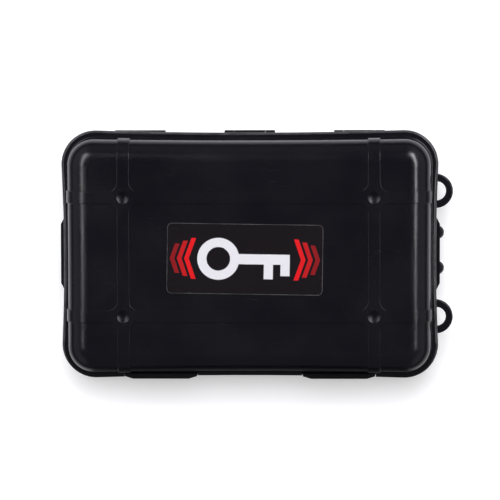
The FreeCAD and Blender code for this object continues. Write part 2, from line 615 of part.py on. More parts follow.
def magnet_ring(x, y):
    """Ring magnet glued in its pot."""
    return disc(RING_RADIUS, RING_RECESS, RING_TOP_Z, x, y).cut(
        disc(RING_HOLE_RADIUS, 0, CUP_HEIGHT, x, y))


def magnet_screw(x, y):
    """Countersunk cross-head screw, head down in its pot."""
    cone_z = RING_TOP_Z + SCREW_HEAD_RIM
    rim = disc(SCREW_HEAD_RADIUS, RING_TOP_Z, cone_z, x, y)
    cone = Part.makeCone(SCREW_HEAD_RADIUS, SCREW_RADIUS, SCREW_HEAD_RADIUS - SCREW_RADIUS,
                         Vector(x, y, cone_z), UP)
    shank = disc(SCREW_RADIUS, cone_z, NUT_TOP_Z + SCREW_END, x, y)
    shank = shank.makeChamfer(SCREW_CHAMFER, edges_at_height(shank, NUT_TOP_Z + SCREW_END))
    long, wide = CROSS_SLOT_LENGTH / 2, CROSS_SLOT_WIDTH / 2
    z0, z1 = RING_TOP_Z - PAST, RING_TOP_Z + CROSS_SLOT_DEPTH
    return fused([rim, cone, shank]).cut([box(x - long, x + long, y - wide, y + wide, z0, z1),
                                          box(x - wide, x + wide, y - long, y + long, z0, z1)])


def sealing_washer(x, y):
    """Bonded sealing washer between the floor and a nut."""
    return disc(WASHER_RADIUS, INNER_FLOOR_Z, WASHER_TOP_Z, x, y).cut(
        disc(SCREW_RADIUS + SCREW_HOLE_CLEARANCE, FLOOR_Z, NUT_TOP_Z, x, y))


def hex_nut(x, y):
    """Hexagon nut with turned-off corners."""
    corner = NUT_FLATS / math.sqrt(3)
    points = [(x + corner * math.cos(math.radians(60 * k)),
               y + corner * math.sin(math.radians(60 * k))) for k in range(6)]
    turned = disc(corner, WASHER_TOP_Z, NUT_TOP_Z, x, y)
    ends = edges_at_height(turned, WASHER_TOP_Z) + edges_at_height(turned, NUT_TOP_Z)
    turned = turned.makeChamfer(NUT_CHAMFER, ends)
    return prism(points, WASHER_TOP_Z, NUT_TOP_Z).common(turned).cut(
        disc(SCREW_RADIUS + NUT_BORE_CLEARANCE, FLOOR_Z, NUT_TOP_Z + PAST, x, y))


def pieces():
    """Every piece of the box, by the name of its node."""
    made = {"base_shell": base_shell(), "lid_shell": lid_shell(),
            "gasket": gasket(), "label": label()}
    for side, x in HINGES.items():
        made[f"hinge_pin_{side}"] = hinge_pin(x)
    for side, x in LATCHES.items():
        made[f"latch_{side}"] = latch(x)
        made[f"latch_pin_{side}"] = latch_pin(x)
    for corner, (x, y) in CROSSINGS.items():
        made[f"magnet_cup_{corner}"] = magnet_cup(x, y)
        made[f"magnet_ring_{corner}"] = magnet_ring(x, y)
        made[f"magnet_screw_{corner}"] = magnet_screw(x, y)
        made[f"sealing_washer_{corner}"] = sealing_washer(x, y)
        made[f"hex_nut_{corner}"] = hex_nut(x, y)
    return made


def main():
    os.makedirs("parts", exist_ok=True)
    for name, shape in pieces().items():
        shape.translate(TO_ORIGIN)
        solids = shape.Solids
        print(f"{name}: {len(solids)} solid(s), {shape.Volume:.1f} mm3, valid {shape.isValid()}")
        whole = solids[0] if len(solids) == 1 else Part.makeCompound(solids)
        whole.exportStep(f"parts/{name}.step")


main()
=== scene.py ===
import json
import math

import bpy
import numpy as np
from mathutils import Matrix, Vector


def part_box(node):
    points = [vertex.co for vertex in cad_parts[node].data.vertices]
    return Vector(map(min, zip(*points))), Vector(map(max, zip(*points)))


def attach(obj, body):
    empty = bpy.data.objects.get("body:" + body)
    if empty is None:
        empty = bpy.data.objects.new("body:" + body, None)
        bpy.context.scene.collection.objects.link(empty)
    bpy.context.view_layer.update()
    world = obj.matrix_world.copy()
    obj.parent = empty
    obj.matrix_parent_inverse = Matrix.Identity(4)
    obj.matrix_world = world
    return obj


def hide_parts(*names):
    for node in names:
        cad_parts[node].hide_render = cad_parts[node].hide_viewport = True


# Magnetic key holder box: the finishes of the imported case, and its gasket as a modelled bead.
# The script works in metres, and in millimetres where a comment says so. X runs along the case
# towards the lanyard loops, Y towards the hinge and Z up through the lid, with the magnets'
# faces on the plane z = 0. Turns are in radians.

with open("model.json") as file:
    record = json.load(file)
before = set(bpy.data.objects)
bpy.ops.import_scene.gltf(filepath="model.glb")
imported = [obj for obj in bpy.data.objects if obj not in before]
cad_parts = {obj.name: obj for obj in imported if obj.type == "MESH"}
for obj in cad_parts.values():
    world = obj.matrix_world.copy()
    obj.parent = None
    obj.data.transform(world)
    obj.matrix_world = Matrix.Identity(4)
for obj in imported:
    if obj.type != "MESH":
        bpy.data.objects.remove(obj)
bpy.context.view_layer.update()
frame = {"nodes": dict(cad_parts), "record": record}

MM = 0.001

# --- The case, as the frame gives it ----------------------------------------------------------
LID_LOW, LID_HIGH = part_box("lid_shell")
LABEL_LOW, LABEL_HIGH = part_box("label")
GASKET_LOW, GASKET_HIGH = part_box("gasket")
CASE_MIDDLE = (LID_LOW + LID_HIGH) / 2
LABEL_MIDDLE = (LABEL_LOW + LABEL_HIGH) / 2
HALF_LENGTH = (LID_HIGH.x - LID_LOW.x) / 2
HALF_WIDTH = (LID_HIGH.y - LID_LOW.y) / 2
LID_TOP = LID_HIGH.z
FLANGE_TOP = GASKET_HIGH.z + 1.4 * MM
CORNER_RADIUS = 14.2 * MM            # of the lid's flange, seen from above
FLANGE_BOWS = (1.0 * MM, 0.9 * MM)   # how far its long sides and its ends dip in at their middles
GROOVE_BOWS = (0.6 * MM, 0.1 * MM)   # the same for the gasket's groove
POTS = [sum(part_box(name), Vector()) / 2 for name in sorted(frame["nodes"])
        if name.startswith("magnet_cup")]

# --- Gasket -----------------------------------------------------------------------------------
GASKET_WIDTH = 2.2 * MM
GASKET_INSET = HALF_LENGTH - (GASKET_HIGH.x - GASKET_LOW.x) / 2 + GASKET_WIDTH / 2
BEAD_HALF_WIDTH = 0.49 * GASKET_WIDTH
BEAD_LIP = 0.22 * MM                 # height of the two lips on its under face
BEAD_STEPS = 28                      # points round its section
CORNER_STEPS = 24                    # points along a corner of its path
SIDE_STEPS = 60                      # and along a side between two corners

# --- Plastics: the highlight painted along the flange's edge, and the pits in the lid's top ---
RUBBED_GLINT_INSIDE = (-1.0, -0.5)         # mm from the flange's edge, where the painted highlight line begins
RUBBED_GLINT_OUTSIDE = (0.1, 0.3)          # mm, where it ends
RUBBED_GLINT_HEIGHTS = (FLANGE_TOP - 1.2 * MM, FLANGE_TOP - 0.3 * MM)   # it comes in between them
RUBBED_GLINT_FRONT = (-0.050, -0.035)      # it fades out between them, towards the latches, where the edge is unlit
PIT_RADIUS = (2.4, 2.7)              # mm from a magnet's axis, where a pit's ground ends
PIT_HEIGHTS = (LID_TOP - 1.6 * MM, LID_TOP - 1.2 * MM)            # it comes in between them
PIT_SHADE_METAL = 0.42                     # how much of the ground's shader is metal, which darkens it as painted shade

# --- Label print, in millimetres on the label's own axes --------------------------------------
LABEL_TURN = math.radians(-0.9)
LABEL_HALF = (32.35, 14.65)
LABEL_CORNER = 2.0
KEY_BOW = (-11.0, 0.0)               # middle of its ring
KEY_BOW_RADII = (4.9, 8.7)
KEY_BARS = (((-3.5, 18.6), (-2.1, 2.1)),    # shank, from x to x and from y to y
            ((7.9, 11.7), (-8.2, -1.5)),    # bits
            ((14.8, 18.6), (-6.8, -1.5)))
CHEVRONS = 3                         # at each end
CHEVRON_TIP = 24.2                   # of the inner one, from the label's middle
CHEVRON_STEP = 3.0
CHEVRON_HALF_BAR = 0.95
CHEVRON_SLANT = 0.35                 # how far its arms lean inwards for each mm up or down
CHEVRON_HALF_HEIGHT = 8.5
CHEVRON_SHRINK = 1.2                 # less for each one further out
CHEVRON_FADE = 0.34                  # less ink for each one further out
INK_BLUR = 0.12                      # half of the width over which ink begins

# --- Colours ----------------------------------------------------------------------------------
WHITE = (1.0, 1.0, 1.0, 1.0)
FLOOR_GREY = (0.86, 0.86, 0.86, 1.0)
ROOM_TINT = (0.985, 0.97, 1.05, 1.0)
SOFTBOX_TINT = (0.99, 0.98, 1.03)
CASE_BLACKS = ((0.0025, 0.0022, 0.0045, 1.0), (0.0036, 0.0033, 0.0058, 1.0))
# darker than the case's blacks: painted shade for the box's unlit front
LATCH_SHADED_BLACKS = ((0.0016, 0.0015, 0.0024, 1.0), (0.0024, 0.0023, 0.0034, 1.0))
PLASTIC_SCRATCH = (0.35, 0.35, 0.36, 1.0)
PLASTIC_DUST = (0.45, 0.43, 0.42, 1.0)
# pale colour of the highlight painted along the lid flange's edge
PLASTIC_RUBBED_GLINT = (0.30, 0.29, 0.31, 1.0)
GASKET_BLACK = (0.030, 0.030, 0.032, 1.0)
WASHER_BLACK = (0.025, 0.025, 0.025, 1.0)
RUBBER_BLOOM = (0.20, 0.20, 0.21, 1.0)
RUBBER_DUST = (0.5, 0.49, 0.46, 1.0)
LABEL_BLACKS = ((0.0062, 0.0042, 0.0062, 1.0), (0.0075, 0.0055, 0.0075, 1.0))
LABEL_REDS = ((0.77, 0.007, 0.010, 1.0), (0.63, 0.005, 0.008, 1.0))
LABEL_WHITE = (0.73, 0.725, 0.75, 1.0)
LABEL_SCRATCH = (0.2, 0.2, 0.2, 1.0)
LABEL_WORN = (0.060, 0.058, 0.060, 1.0)
METAL_SCRATCH = (0.85, 0.85, 0.86, 1.0)
CUP_STEELS = ((0.52, 0.52, 0.53, 1.0), (0.41, 0.41, 0.43, 1.0))
MAGNET_NICKELS = ((0.66, 0.64, 0.61, 1.0), (0.58, 0.56, 0.53, 1.0))
SCREW_ZINCS = ((0.60, 0.61, 0.64, 1.0), (0.47, 0.48, 0.52, 1.0))
PIN_STEELS = ((0.58, 0.575, 0.57, 1.0), (0.44, 0.43, 0.42, 1.0))

# --- Camera -----------------------------------------------------------------------------------
VIEW_DISTANCE = 1.3
VIEW_LEAN = math.radians(3.9)        # camera stands this far from upright, towards the hinge
VIEW_SIDESTEP = math.radians(1.8)    # and this far towards the lanyard loops
VIEW_ROLL = math.radians(-0.13)      # and is turned this far about its own line of sight
VIEW_REACH = 20.0
FRAME_WIDTH = 209.6 * MM             # what the picture takes in at the height of the lid's flange
AIM_BESIDE_MIDDLE = Vector((0.14, 1.85, 0)) * MM   # what it looks at, from the case's middle
SENSOR_WIDTH = 36.0                  # mm

# --- Floor and lamps --------------------------------------------------------------------------
FLOOR_DROP = 0.2 * MM                # below the magnets' faces
FLOOR_REACH = 6.0
TOUCHING = 2 * MM                    # what lies on the floor is nearer than this
LAMP_AIM = Vector((0, 0, 0.04))      # what the softboxes face
# Softboxes: name, place, width and length, and watts.
SIDE_LAMPS = (("softbox_left", (-0.63, 0.34, 1.05), (0.34, 0.96), 4.2),
              ("softbox_right", (0.63, 0.37, 1.05), (0.24, 0.96), 6.8))
TOP_LAMP = ("lamp_over", (0.05, 0.40, 1.5), (0.7, 0.60), 18.4)
# The sheets of light in a softbox: name, width and length as shares of the softbox's, share of
# its watts, how far before it the sheet stands, and how far it is moved along and inwards, as
# shares of the softbox's length and width.
SHEETS = (("edge", 1.25, 1.0, 0.5, 0.0, 0.0, 0.0),
          ("middle", 0.6, 0.94, 0.5, 0.02, 0.0, 0.0),
          ("corner", 1.7, 0.42, 0.22, 0.04, 0.32, 0.35))


# --- Short calls for node trees ---------------------------------------------------------------
class Graph:
    """A node tree with short calls that add to it. An input given as a socket is linked, and any
    other is set as a value."""

    def __init__(self, tree):
        self.tree = tree

    def node(self, kind, inputs=None, **settings):
        made = self.tree.nodes.new(kind)
        for name, value in settings.items():
            setattr(made, name, value)
        for name, value in (inputs or {}).items():
            if isinstance(value, bpy.types.NodeSocket):
                self.tree.links.new(value, made.inputs[name])
            else:
                made.inputs[name].default_value = value
        return made

    def math(self, operation, *values):
        """One number from up to three."""
        return self.node("ShaderNodeMath", dict(enumerate(values)), operation=operation).outputs[0]

    def chain(self, operation, values):
        """One number from any count of them, two at a time."""
        so_far, *others = values
        for value in others:
            so_far = self.math(operation, so_far, value)
        return so_far

    def add(self, *values):
        return self.chain("ADD", values)

    def times(self, *values):
        return self.chain("MULTIPLY", values)

    def most(self, *values):
        return self.chain("MAXIMUM", values)

    def least(self, *values):
        return self.chain("MINIMUM", values)

    def minus(self, value, less):
        return self.math("SUBTRACT", value, less)

    def size(self, value):
        """A number without its sign."""
        return self.math("ABSOLUTE", value)

    def square(self, value):
        return self.math("POWER", value, 2.0)

    def length(self, x, y):
        return self.math("SQRT", self.add(self.square(x), self.square(y)))

    def outside(self, value, low, high):
        """How far a number is outside low to high, below nought between them."""
        return self.minus(self.size(self.minus(value, (low + high) / 2)), (high - low) / 2)

    def rounded(self, past_x, past_y, corner):
        """Distance outside a rounded rectangle, below nought inside it, from how far past its
        corners' middles the point is along both axes."""
        return self.minus(self.length(self.most(past_x, 0.0), self.most(past_y, 0.0)), corner)

    def raised(self, value, mask, most):
        """A number raised by most where the mask is 1."""
        return self.add(value, self.times(mask, most))

    def vector(self, operation, *values):
        """One vector from up to three."""
        return self.node("ShaderNodeVectorMath", dict(enumerate(values)),
                         operation=operation).outputs[0]

    def axes(self, vector):
        """The three numbers of a vector."""
        return self.node("ShaderNodeSeparateXYZ", {0: vector}).outputs

    def join(self, x=0.0, y=0.0, z=0.0):
        """A vector from three numbers."""
        return self.node("ShaderNodeCombineXYZ", {0: x, 1: y, 2: z}).outputs[0]

    def object_point(self):
        return self.node("ShaderNodeTexCoord").outputs["Object"]

    def point_about(self, middle, turn=0.0):
        """The point in millimetres from middle, on axes turned about Z."""
        return self.node("ShaderNodeMapping", {
            "Vector": self.object_point(), "Location": middle, "Rotation": (0.0, 0.0, turn),
            "Scale": (MM, MM, MM)}, vector_type="TEXTURE").outputs[0]

    def stretched(self, vector, scales, turn=0.0):
        """A vector multiplied along each axis, then turned about Z. A pattern read from it is
        drawn out along the axis with the smallest scale."""
        return self.node("ShaderNodeMapping", {
            "Vector": vector, "Rotation": (0.0, 0.0, turn), "Scale": scales}).outputs[0]

    def noise(self, vector, scale, detail=2.0, roughness=0.5):
        """Cloudy values from 0 to 1 with features about 1/scale of the vector's unit wide."""
        return self.node("ShaderNodeTexNoise", {"Vector": vector, "Scale": scale, "Detail": detail,
                                                "Roughness": roughness}).outputs["Fac"]

    def ramp(self, value, low, high, start=0.0, end=1.0):
        """Eases from start, where value is low, to end, where value is high."""
        return self.node("ShaderNodeMapRange", {"Value": value, 1: low, 2: high, 3: start, 4: end},
                         interpolation_type="SMOOTHSTEP").outputs[0]

    def mix(self, share, first, second):
        """Colour between first and second."""
        return self.node("ShaderNodeMix", {0: share, 6: first, 7: second},
                         data_type="RGBA").outputs[2]

    def coated(self, tone, colour, mask, most):
        """Tone with a share of colour on it: most where the mask is 1."""
        return self.mix(self.times(mask, most), tone, colour)

    def bump(self, height, distance, strength):
        return self.node("ShaderNodeBump", {"Height": height, "Distance": distance,
                                            "Strength": strength}).outputs["Normal"]

    def effect(self, tree, **inputs):
        """Places a node group and gives back its outputs."""
        return self.node("ShaderNodeGroup", inputs, node_tree=tree).outputs

    def either(self, share, first, second):
        """Shader between first and second."""
        return self.node("ShaderNodeMixShader", {0: share, 1: first, 2: second}).outputs[0]

    def emission(self, colour, strength):
        return self.node("ShaderNodeEmission", {"Color": colour, "Strength": strength}).outputs[0]


def new_effect(name, inputs, outputs):
    """Empty node group with number inputs, as {name: usual value}, and number outputs."""
    tree = bpy.data.node_groups.new(name, "ShaderNodeTree")
    for label, value in inputs.items():
        socket = tree.interface.new_socket(label, in_out="INPUT", socket_type="NodeSocketFloat")
        socket.default_value = value
    for label in outputs:
        tree.interface.new_socket(label, in_out="OUTPUT", socket_type="NodeSocketFloat")
    graph = Graph(tree)
    return graph, graph.node("NodeGroupInput").outputs


def close_effect(graph, **outputs):
    """Joins the group's results to its outputs."""
    graph.node("NodeGroupOutput", outputs)
    return graph.tree


def empty_tree(owner):
    """The owner's node tree, switched on and cleared."""
    owner.use_nodes = True
    owner.node_tree.nodes.clear()
    return Graph(owner.node_tree)


def new_material(name, constants):
    """Material with one Principled shader, whose unchanging sockets are set to constants."""
    made = bpy.data.materials.new(name)
    graph = empty_tree(made)
    shader = graph.node("ShaderNodeBsdfPrincipled", constants)
    graph.node("ShaderNodeOutputMaterial", {"Surface": shader.outputs[0]})
    return made, graph, shader


def feed(graph, shader, **values):
    """Links changing values to the shader's sockets."""
    for name, value in values.items():
        graph.tree.links.new(value, shader.inputs[name.replace("_", " ")])


# --- Effects that several finishes share ------------------------------------------------------
def grain_effect():
    """Fine spark-eroded mould texture with grains of a size in millimetres, and slow patches of
    tone. The texture is one noise with a coarser one under it."""
    graph, given = new_effect("mould_grain", {"Size": 0.35}, ["Height", "Patches"])
    coarser, fine_share = 0.31, 0.7
    point = graph.object_point()
    scale = graph.math("DIVIDE", 1 / MM, given["Size"])
    fine = graph.noise(point, scale, detail=3.0, roughness=0.6)
    coarse = graph.noise(point, graph.times(scale, coarser), detail=1.0)
    height = graph.add(graph.times(fine, fine_share), graph.times(coarse, 1.0 - fine_share))
    clouds = graph.noise(point, scale=34.0, detail=3.0, roughness=0.6)
    return close_effect(graph, Height=height, Patches=graph.ramp(clouds, 0.3, 0.7))


def scratch_effect():
    """Hairline scratches: noise drawn out along X, bent a little by slower noise, kept where it
    crests and only in some places. Each of three sets reads the noise at another turn."""
    graph, given = new_effect("hairlines", {"Amount": 0.5}, ["Mask"])
    bend, across, through = 6 * MM, 3400.0, 900.0
    point = graph.object_point()
    sway = graph.node("ShaderNodeTexNoise", {"Vector": point, "Scale": 35.0, "Detail": 0.0})
    bent = graph.vector("MULTIPLY_ADD", sway.outputs["Color"], (bend, bend, bend), point)
    lines = []
    for turn, along in ((0.55, 75.0), (1.35, 95.0), (2.4, 60.0)):
        drawn = graph.stretched(bent, (along, across, through), turn)
        crest = graph.ramp(graph.noise(drawn, scale=1.0, detail=0.0), 0.76, 0.82)
        elsewhere = graph.vector("ADD", point, (turn, 0.0, 0.0))
        place = graph.ramp(graph.noise(elsewhere, scale=45.0, detail=1.0), 0.56, 0.70)
        lines.append(graph.times(crest, place))
    return close_effect(graph, Mask=graph.times(graph.most(*lines), given["Amount"]))


def dust_effect():
    """Small pale specks, and a thin film that gathers in patches."""
    graph, given = new_effect("dust", {"Amount": 0.5}, ["Mask"])
    point = graph.object_point()
    cells = graph.node("ShaderNodeTexVoronoi", {"Vector": point, "Scale": 420.0})
    radius = graph.ramp(graph.axes(cells.outputs["Color"])[0], 0.80, 1.0, 0.0, 0.085)
    speck = graph.math("GREATER_THAN", radius, cells.outputs["Distance"])
    clouds = graph.noise(point, scale=90.0, detail=4.0, roughness=0.7)
    film = graph.ramp(clouds, 0.45, 0.85, 0.0, 0.25)
    return close_effect(graph, Mask=graph.times(graph.most(speck, film), given["Amount"]))


def outline_effect():
    """Distance in millimetres outside the lid flange's edge, below nought inside it. The outline
    is a rounded rectangle whose sides dip inwards by their bows, as arches of parabolas."""
    graph, _ = new_effect("case_outline_distance", {}, ["Distance"])
    away = graph.axes(graph.vector("ABSOLUTE", graph.point_about(CASE_MIDDLE)))
    corner = CORNER_RADIUS / MM
    runs = [HALF_LENGTH / MM - corner, HALF_WIDTH / MM - corner]
    past = []
    for axis, bow in ((0, FLANGE_BOWS[1]), (1, FLANGE_BOWS[0])):
        other = 1 - axis
        along = graph.least(graph.math("DIVIDE", away[other], runs[other]), 1.0)
        dip = graph.times(graph.minus(1.0, graph.square(along)), bow / MM)
        past.append(graph.minus(graph.add(away[axis], dip), runs[axis]))
    return close_effect(graph, Distance=graph.rounded(*past, corner))


def pot_effect():
    """Distance in millimetres from the axis of the nearest of the four magnets, and the turn about
    it. The magnets mirror each other about the middle, so the point is folded into one quarter."""
    graph, _ = new_effect("about_magnet", {}, ["Radius", "Angle"])
    middle = sum(POTS, Vector()) / len(POTS)
    pot = [abs(a - b) / MM for a, b in zip(POTS[0], middle)]
    folded = graph.axes(graph.vector("ABSOLUTE", graph.point_about(middle)))
    x, y = (graph.minus(folded[axis], pot[axis]) for axis in (0, 1))
    return close_effect(graph, Radius=graph.length(x, y), Angle=graph.math("ARCTAN2", y, x))


GRAIN = grain_effect()
HAIRLINES = scratch_effect()
DUST = dust_effect()
OUTLINE = outline_effect()
ABOUT_MAGNET = pot_effect()


# --- Plastics, rubber and vinyl ---------------------------------------------------------------
def rubbed_edge_glint(graph, glint_share):
    """Mask of a pale line along the lid flange's outer edge, in patches: a painted highlight that
    is also rubbed duller.
    """
    edge = graph.effect(OUTLINE)["Distance"]
    _, y, z = graph.axes(graph.object_point())
    patches = graph.noise(graph.object_point(), scale=160.0, detail=4.0, roughness=0.7)
    return graph.times(graph.ramp(patches, 0.30, 0.62, 0.35 * glint_share, glint_share),
                       graph.ramp(edge, *RUBBED_GLINT_INSIDE),
                       graph.ramp(edge, *RUBBED_GLINT_OUTSIDE, 1.0, 0.0),
                       graph.ramp(z, *RUBBED_GLINT_HEIGHTS),
                       graph.ramp(y, *RUBBED_GLINT_FRONT))


def pit_ground_shade(graph):
    """Mask of the round ground of the lid's four pits, where shade is painted. Each pit is over a
    magnet.
    """
    z = graph.axes(graph.object_point())[2]
    return graph.times(graph.ramp(graph.effect(ABOUT_MAGNET)["Radius"], *PIT_RADIUS, 1.0, 0.0),
                       graph.ramp(z, *PIT_HEIGHTS))


def moulded_plastic(name, tones, roughness, glint_share):
    """Satin-gloss black plastic: fine mould texture, uneven tone, hairlines, a little dust, and
    a paler line painted as a highlight along the lid flange's outer edge, which is also rubbed
    duller. The ground of the lid's pits is duller and, as the shader's metal takes its mirroring
    from its black colour, mirrors less: painted shade in the pits."""
    made, graph, shader = new_material(name, {"IOR": 1.5})
    grain = graph.effect(GRAIN, Size=0.3)
    scratch = graph.effect(HAIRLINES, Amount=0.4)["Mask"]
    dust = graph.effect(DUST, Amount=0.5)["Mask"]
    rubbed_glint = rubbed_edge_glint(graph, glint_share)
    pit_shade = pit_ground_shade(graph)
    tone = graph.mix(grain["Patches"], *tones)
    rough = graph.raised(roughness, grain["Patches"], 0.05)
    # The rubbed colour is a pale painted highlight along the flange's edge.
    for colour, mark, share in ((PLASTIC_SCRATCH, scratch, 0.02), (PLASTIC_DUST, dust, 0.010),
                                (PLASTIC_RUBBED_GLINT, rubbed_glint, 0.20)):
        tone = graph.coated(tone, colour, mark, share)
    for mark, dulling in ((scratch, 0.15), (rubbed_glint, 0.15), (pit_shade, 0.06)):
        rough = graph.raised(rough, mark, dulling)
    height = graph.raised(grain["Height"], scratch, -0.4)
    # Metal in the pits takes their sheen away: painted shade on their ground.
    feed(graph, shader, Base_Color=tone, Roughness=rough, Metallic=graph.times(pit_shade, PIT_SHADE_METAL),
         Normal=graph.bump(height, distance=0.006 * MM, strength=0.7))
    return made


def soft_rubber(name, colour, bloom):
    """Matt black rubber with a pale bloom that gathers in patches."""
    made, graph, shader = new_material(name, {"IOR": 1.45, "Specular IOR Level": 0.3,
                                              "Sheen Weight": 0.15, "Sheen Roughness": 0.5})
    grain = graph.effect(GRAIN, Size=0.5)
    dust = graph.effect(DUST, Amount=0.8)["Mask"]
    tone = graph.coated(colour, RUBBER_BLOOM, grain["Patches"], bloom)
    tone = graph.coated(tone, RUBBER_DUST, dust, 0.08)
    rough = graph.raised(0.68, grain["Patches"], 0.12)
    feed(graph, shader, Base_Color=tone, Roughness=rough,
         Normal=graph.bump(grain["Height"], distance=0.02 * MM, strength=0.8))
    return made


def key_print(graph, x, y):
    """Signed distance to a key: a ring for its bow, and bars for its shank and bits."""
    reach = graph.length(*(graph.minus(value, centre) for value, centre in zip((x, y), KEY_BOW)))
    bow = graph.outside(reach, *KEY_BOW_RADII)
    bars = [graph.most(graph.outside(x, *across), graph.outside(y, *up))
            for across, up in KEY_BARS]
    return graph.least(bow, *bars)


def chevron_print(graph, across, up):
    """Ink of the chevrons at both ends, which point outwards and fade one by one. A chevron is a
    band that leans along its slant, cut off at its height."""
    leaning = graph.add(across, graph.times(up, CHEVRON_SLANT))
    inks = []
    for k in range(CHEVRONS):
        tip = CHEVRON_TIP + CHEVRON_STEP * k
        band = graph.outside(leaning, tip - CHEVRON_HALF_BAR, tip + CHEVRON_HALF_BAR)
        above = graph.minus(up, CHEVRON_HALF_HEIGHT - CHEVRON_SHRINK * k)
        inks.append(graph.ramp(graph.most(band, above), -INK_BLUR, INK_BLUR,
                               1.0 - CHEVRON_FADE * k, 0.0))
    return graph.most(*inks)


def print_effect():
    """Generic print for the label, in millimetres on the label's own axes: a white key between
    two sets of red chevrons, and how worn the sheet's edge is. Each shape is a signed distance,
    below nought inside it."""
    graph, _ = new_effect("label_print", {}, ["White", "Red", "Edge"])
    point = graph.point_about(LABEL_MIDDLE, LABEL_TURN)
    x, y, _ = graph.axes(point)
    across, up = graph.size(x), graph.size(y)
    patches = graph.noise(point, scale=2.2, detail=4.0, roughness=0.7)
    chipped = graph.add(key_print(graph, x, y), graph.ramp(patches, 0.55, 0.85, 0.0, 0.35))
    past = [graph.minus(value, half - LABEL_CORNER)
            for value, half in zip((across, up), LABEL_HALF)]
    ragged = graph.add(graph.rounded(*past, LABEL_CORNER),
                       graph.ramp(patches, 0.35, 0.75, -0.10, 0.16))
    faint = graph.ramp(graph.noise(point, scale=0.09, detail=2.0), 0.35, 0.65, 0.45, 1.0)
    return close_effect(graph, White=graph.ramp(chipped, -INK_BLUR, INK_BLUR, 1.0, 0.0),
                        Red=chevron_print(graph, across, up),
                        Edge=graph.times(graph.ramp(ragged, -0.36, -0.16), faint))


def label_vinyl():
    """Printed vinyl sheet: black ground, generic print, thinly inked in places, and a pale worn
    line along its edge."""
    made, graph, shader = new_material("label_vinyl", {"IOR": 1.46})
    shapes = graph.effect(print_effect())
    grain = graph.effect(GRAIN, Size=0.22)
    scratch = graph.effect(HAIRLINES, Amount=1.0)["Mask"]
    ground = graph.mix(grain["Patches"], *LABEL_BLACKS)
    red = graph.mix(grain["Patches"], *LABEL_REDS)
    tone = graph.mix(shapes["Red"], ground, red)
    tone = graph.mix(shapes["White"], tone, LABEL_WHITE)
    tone = graph.coated(tone, LABEL_SCRATCH, scratch, 0.05)
    tone = graph.mix(shapes["Edge"], tone, LABEL_WORN)
    rough = graph.raised(0.24, shapes["Edge"], 0.3)
    feed(graph, shader, Base_Color=tone, Roughness=rough,
         Normal=graph.bump(grain["Height"], distance=0.004 * MM, strength=0.6))
    return made


# --- Metals -----------------------------------------------------------------------------------
def turned_metal(name, tones, roughness, marks_per_mm):
    """Plated metal with fine turning marks about the nearest magnet's axis, mottled and a little
    scratched. The marks are noise read along the radius."""
    made, graph, shader = new_material(name, {"Metallic": 1.0})
    about = graph.effect(ABOUT_MAGNET)
    grain = graph.effect(GRAIN, Size=0.4)
    scratch = graph.effect(HAIRLINES, Amount=1.0)["Mask"]
    along = graph.join(about["Radius"], graph.times(about["Angle"], 0.15))
    marks = graph.noise(along, marks_per_mm)
    tone = graph.coated(graph.mix(grain["Patches"], *tones), METAL_SCRATCH, scratch, 0.35)
    rough = graph.raised(graph.raised(roughness, grain["Patches"], 0.12), marks, 0.08)
    height = graph.raised(marks, scratch, -0.6)
    feed(graph, shader, Base_Color=tone, Roughness=rough,
         Normal=graph.bump(height, distance=0.008 * MM, strength=0.6))
    return made


def drawn_steel():
    """Bright drawn pin: streaks along its length."""
    made, graph, shader = new_material("pin_steel", {"Metallic": 1.0})
    drawn = graph.stretched(graph.object_point(), (60.0, 5200.0, 5200.0))
    streaks = graph.noise(drawn, scale=1.0, detail=3.0, roughness=0.6)
    grain = graph.effect(GRAIN, Size=0.5)
    feed(graph, shader, Base_Color=graph.mix(grain["Patches"], *PIN_STEELS),
         Roughness=graph.ramp(streaks, 0.3, 0.7, 0.20, 0.36),
         Normal=graph.bump(streaks, distance=0.006 * MM, strength=0.5))
    return made


# --- Gasket -----------------------------------------------------------------------------------
def turned(vectors, quarter):
    """Vectors (n, 2) turned anticlockwise by a count of quarter turns."""
    turn = quarter * math.pi / 2
    return vectors @ np.array([[math.cos(turn), math.sin(turn)],
                               [-math.sin(turn), math.cos(turn)]])


def case_path(inset):
    """Closed path round the case at an inset, as points (n, 2) and outward normals (n, 2), about
    the case's middle. A corner is a quarter turn of a circle. A side leans inwards from its two
    corners to its middle by its bow, as one arch of a parabola."""
    radius = CORNER_RADIUS - inset
    runs = np.array([HALF_LENGTH - CORNER_RADIUS, HALF_WIDTH - CORNER_RADIUS])
    points, normals = [], []
    for quarter, signs in enumerate(((1, 1), (-1, 1), (-1, -1), (1, -1))):
        turn = np.linspace(0, math.pi / 2, CORNER_STEPS) + quarter * math.pi / 2
        normal = np.stack([np.cos(turn), np.sin(turn)], axis=1)
        points.append(runs * signs + radius * normal)
        normals.append(normal)
        along = np.linspace(1, -1, SIDE_STEPS + 2)[1:-1]
        run, other = runs if quarter % 2 == 0 else runs[::-1]
        bow = GROOVE_BOWS[quarter % 2]
        side = np.stack([run * along, other + radius - bow * (1 - along ** 2)], axis=1)
        facing = np.stack([-2 * bow * along / run, np.ones_like(along)], axis=1)
        facing /= np.linalg.norm(facing, axis=1, keepdims=True)
        points.append(turned(side, quarter))
        normals.append(turned(facing, quarter))
    return np.concatenate(points), np.concatenate(normals)


